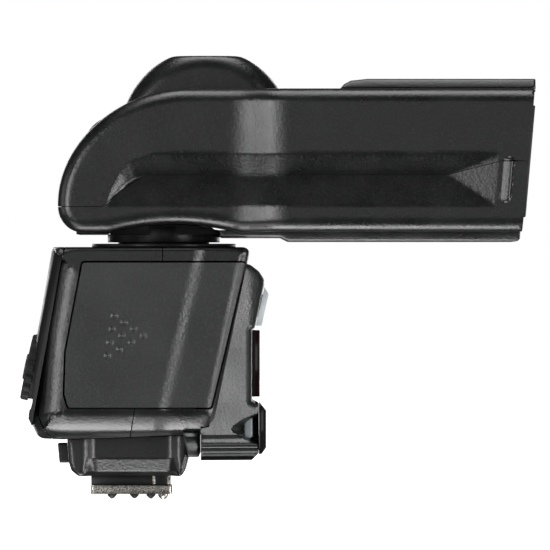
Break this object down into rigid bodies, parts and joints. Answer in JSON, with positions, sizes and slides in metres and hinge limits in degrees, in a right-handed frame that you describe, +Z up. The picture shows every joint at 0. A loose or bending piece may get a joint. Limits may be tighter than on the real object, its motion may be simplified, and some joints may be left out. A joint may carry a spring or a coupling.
{
  "type": "speedlight flash",
  "caption": "Compact on-camera flash: hot-shoe foot, leaning battery body with rear dials and display, swivelling and tilting zoom head with pull-out diffuser panel and bounce card.",
  "frame": {"origin": "middle of the underside of the hot-shoe plate", "axes": "+X towards the subject, the way the lamp head points at rest; +Z up, away from the shoe; +Y to the left side as seen from behind the flash"},
  "size_m": [0.1127, 0.0744, 0.0974],
  "materials": {
    "textured_case": "fine moulded texture",
    "smooth_case": "smooth moulded",
    "door_case": "fine moulded texture",
    "capacitor_sleeve": "shrunk sleeve",
    "rubber": "soft matte",
    "smoked_window": "polished",
    "red_window": "polished",
    "opal_lens": "translucent",
    "clear_lens": "clear",
    "bright_metal": "bright",
    "dark_metal": "dark plated",
    "circuit_board": "solder mask",
    "cell_wrap": "printed sleeve without text",
    "card_white": "white"
  },
  "bodies": {
    "body": {"rear_shell": "textured_case", "front_shell": "textured_case", "rear_panel": "smooth_case", "display_window": "smoked_window", "main_board": "circuit_board", "battery_tray": "smooth_case", "battery_cell_1": "cell_wrap", "battery_cell_2": "cell_wrap", "battery_cell_3": "cell_wrap", "battery_cell_4": "cell_wrap", "battery_contact_plate": "bright_metal", "front_cover": "textured_case", "video_light_lens": "opal_lens", "focus_assist_window": "red_window", "sensor_window": "smoked_window", "sensor_lens": "clear_lens", "foot_housing": "textured_case", "shoe_neck": "smooth_case", "shoe_plate": "bright_metal", "shoe_screw_1": "dark_metal", "shoe_screw_2": "dark_metal", "case_screw_left": "dark_metal", "case_screw_right": "dark_metal", "swivel_ring": "smooth_case"},
    "door_carrier": {"door_hinge_leaf": "dark_metal"},
    "door": {"battery_door": "door_case"},
    "mode_dial": {"mode_dial": "rubber"},
    "value_dial": {"value_dial": "rubber"},
    "set_button": {"set_button": "smooth_case"},
    "power_button": {"power_button": "rubber"},
    "test_button": {"test_button": "opal_lens"},
    "contact_1": {"shoe_contact_1": "dark_metal"},
    "contact_2": {"shoe_contact_2": "dark_metal"},
    "contact_3": {"shoe_contact_3": "dark_metal"},
    "contact_4": {"shoe_contact_4": "dark_metal"},
    "contact_5": {"shoe_contact_5": "dark_metal"},
    "release_button": {"shoe_release_button": "rubber"},
    "lock_pin": {"shoe_lock_pin": "bright_metal"},
    "neck": {"tilt_yoke": "smooth_case", "swivel_retainer": "dark_metal"},
    "head": {"head_upper_shell": "textured_case", "head_lower_shell": "textured_case", "yoke_well": "smooth_case", "tilt_pin": "bright_metal", "front_bezel": "smooth_case", "fresnel_lens": "clear_lens", "panel_cover": "textured_case", "underside_pad": "textured_case", "head_screw_left": "dark_metal", "head_screw_right": "dark_metal", "main_capacitor": "capacitor_sleeve", "trigger_board": "circuit_board", "zoom_motor": "bright_metal", "zoom_rails": "bright_metal"},
    "zoom_carriage": {"zoom_reflector": "bright_metal", "flash_tube": "clear_lens"},
    "zoom_screw": {"zoom_screw": "bright_metal"},
    "wide_panel": {"wide_panel": "clear_lens"},
    "bounce_card": {"bounce_card": "card_white"}
  },
  "joints": [
    {"name": "head_swivel", "type": "hinge", "parent": "body", "child": "neck", "pos_m": [0.007, 0, 0.055], "axis": [0, 0, 1], "range_deg": [-180, 180]},
    {"name": "head_tilt", "type": "hinge", "parent": "neck", "child": "head", "pos_m": [-0.0033, 0, 0.0758], "axis": [0, -1, 0], "range_deg": [0, 90]},
    {"name": "wide_panel_slide", "type": "slide", "parent": "head", "child": "wide_panel", "axis": [1, 0, 0], "range_m": [0, 0.034]},
    {"name": "bounce_card_slide", "type": "slide", "parent": "head", "child": "bounce_card", "axis": [1, 0, 0], "range_m": [0, 0.034]},
    {"name": "zoom_slide", "type": "slide", "parent": "head", "child": "zoom_carriage", "axis": [1, 0, 0], "range_m": [-0.012, 0.012]},
    {"name": "zoom_screw_spin", "type": "hinge", "parent": "head", "child": "zoom_screw", "pos_m": [0.05, 0.02, 0.0611], "axis": [1, 0, 0], "range_deg": [-545, 545]},
    {"name": "door_slide", "type": "slide", "parent": "body", "child": "door_carrier", "axis": [1, 0, 0], "range_m": [0, 0.0035]},
    {"name": "door_swing", "type": "hinge", "parent": "door_carrier", "child": "door", "pos_m": [0.023, -0.0297, 0.0501], "axis": [0.1924, 0, 0.9813], "range_deg": [0, 105]},
    {"name": "mode_dial_turn", "type": "hinge", "parent": "body", "child": "mode_dial", "pos_m": [-0.01987, 0.0145, 0.02743], "axis": [0.979, 0, -0.2036], "continuous": true},
    {"name": "value_dial_turn", "type": "hinge", "parent": "body", "child": "value_dial", "pos_m": [-0.01987, -0.0145, 0.02743], "axis": [0.979, 0, -0.2036], "continuous": true},
    {"name": "set_button_press", "type": "slide", "parent": "body", "child": "set_button", "axis": [0.979, 0, -0.2036], "range_m": [0, 0.0005], "stiffness_N_per_m": 600},
    {"name": "power_button_press", "type": "slide", "parent": "body", "child": "power_button", "axis": [0.979, 0, -0.2036], "range_m": [0, 0.0008], "stiffness_N_per_m": 500},
    {"name": "test_button_press", "type": "slide", "parent": "body", "child": "test_button", "axis": [0.979, 0, -0.2036], "range_m": [0, 0.0008], "stiffness_N_per_m": 500},
    {"name": "release_press", "type": "slide", "parent": "body", "child": "release_button", "axis": [1, 0, 0], "range_m": [0, 0.002], "stiffness_N_per_m": 400},
    {"name": "lock_pin_lift", "type": "slide", "parent": "body", "child": "lock_pin", "axis": [0, 0, 1], "range_m": [0, 0.0014]},
    {"name": "contact_1_lift", "type": "slide", "parent": "body", "child": "contact_1", "axis": [0, 0, 1], "range_m": [0, 0.0006], "stiffness_N_per_m": 400},
    {"name": "contact_2_lift", "type": "slide", "parent": "body", "child": "contact_2", "axis": [0, 0, 1], "range_m": [0, 0.0006], "stiffness_N_per_m": 400},
    {"name": "contact_3_lift", "type": "slide", "parent": "body", "child": "contact_3", "axis": [0, 0, 1], "range_m": [0, 0.0006], "stiffness_N_per_m": 400},
    {"name": "contact_4_lift", "type": "slide", "parent": "body", "child": "contact_4", "axis": [0, 0, 1], "range_m": [0, 0.0006], "stiffness_N_per_m": 400},
    {"name": "contact_5_lift", "type": "slide", "parent": "body", "child": "contact_5", "axis": [0, 0, 1], "range_m": [0, 0.0006], "stiffness_N_per_m": 400}
  ],
  "couplings": [
    {"joint": "zoom_screw_spin", "follows": "zoom_slide", "rad_per_m": 785.4},
    {"joint": "lock_pin_lift", "follows": "release_press", "ratio": 0.7}
  ]
}
